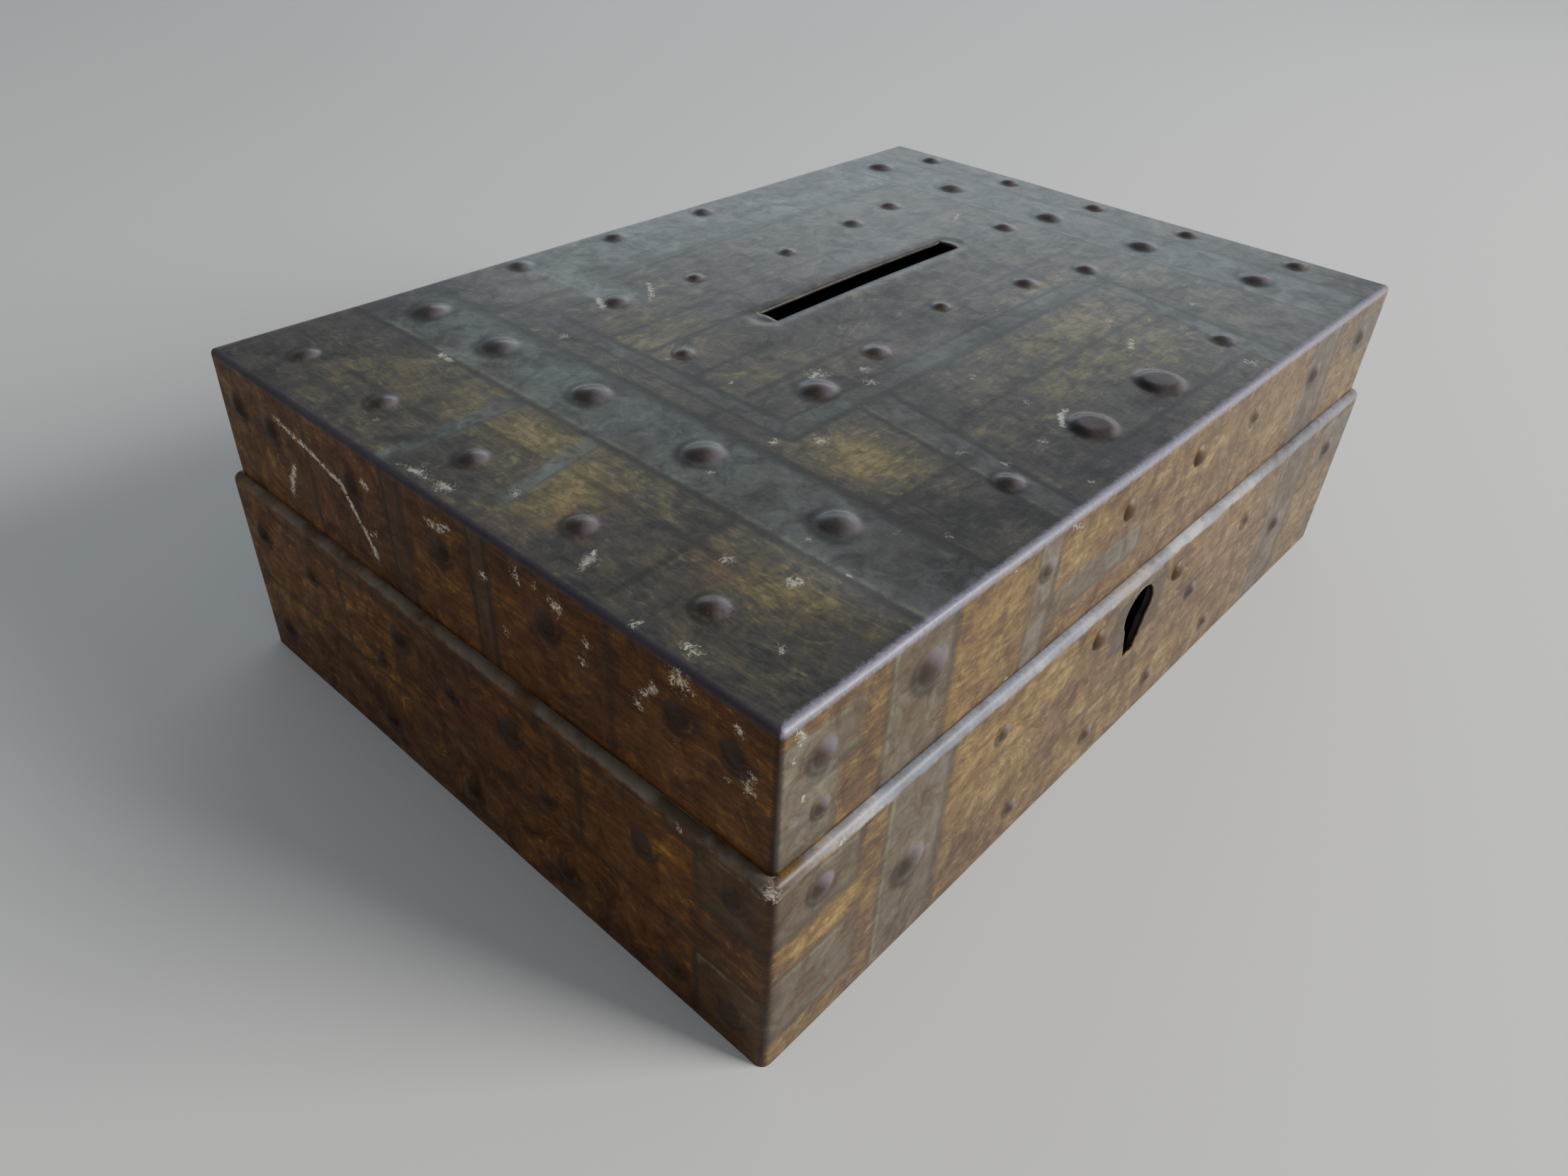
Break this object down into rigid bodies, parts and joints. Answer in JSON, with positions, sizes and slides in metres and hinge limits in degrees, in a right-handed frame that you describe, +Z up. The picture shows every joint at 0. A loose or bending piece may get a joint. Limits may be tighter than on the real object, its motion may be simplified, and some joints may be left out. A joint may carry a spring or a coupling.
{
  "type": "tin money box",
  "caption": "Shallow rectangular tin money box with a hinged slotted lid, a stepped neck and a key-operated sliding bolt behind the front keyhole.",
  "frame": {"origin": "centre of the base's footprint, on the surface that the box stands on", "axes": "+X along the front to the right, the keyhole faces -Y, +Z up out of the lid"},
  "size_m": [0.131, 0.0931, 0.0429],
  "materials": {
    "printed_tin": "varnished lithographed tinplate, worn to bare tin at edges and studs",
    "bare_tin": "dull unprinted tinplate with light staining",
    "dull_steel": "dull pressed steel",
    "steel_wire": "drawn steel wire and spring strip",
    "rivet_steel": "tumbled steel",
    "bolt_brass": "tarnished stamped brass"
  },
  "bodies": {
    "base": {"base_band": "printed_tin", "bottom_panel": "bare_tin", "hinge_leaf_base_left": "dull_steel", "hinge_leaf_base_right": "dull_steel", "hinge_pin_left": "steel_wire", "hinge_pin_right": "steel_wire", "hinge_rivets_base": "rivet_steel", "lock_plate": "dull_steel", "lock_case": "dull_steel", "lock_studs": "rivet_steel", "lock_spring": "steel_wire", "lock_rivets": "printed_tin", "case_rivets": "rivet_steel"},
    "lid": {"lid_tray": "printed_tin", "hinge_leaf_lid_left": "dull_steel", "hinge_leaf_lid_right": "dull_steel", "hinge_rivets_lid": "rivet_steel", "strike_plate": "dull_steel", "strike_rivets": "printed_tin"},
    "bolt": {"lock_bolt": "bolt_brass"}
  },
  "joints": [
    {"name": "lid_hinge", "type": "hinge", "parent": "base", "child": "lid", "pos_m": [0, 0.04625, 0.0261], "axis": [-1, 0, 0], "range_deg": [0, 110]},
    {"name": "bolt_slide", "type": "slide", "parent": "base", "child": "bolt", "axis": [1, 0, 0], "range_m": [0, 0.0035]}
  ]
}
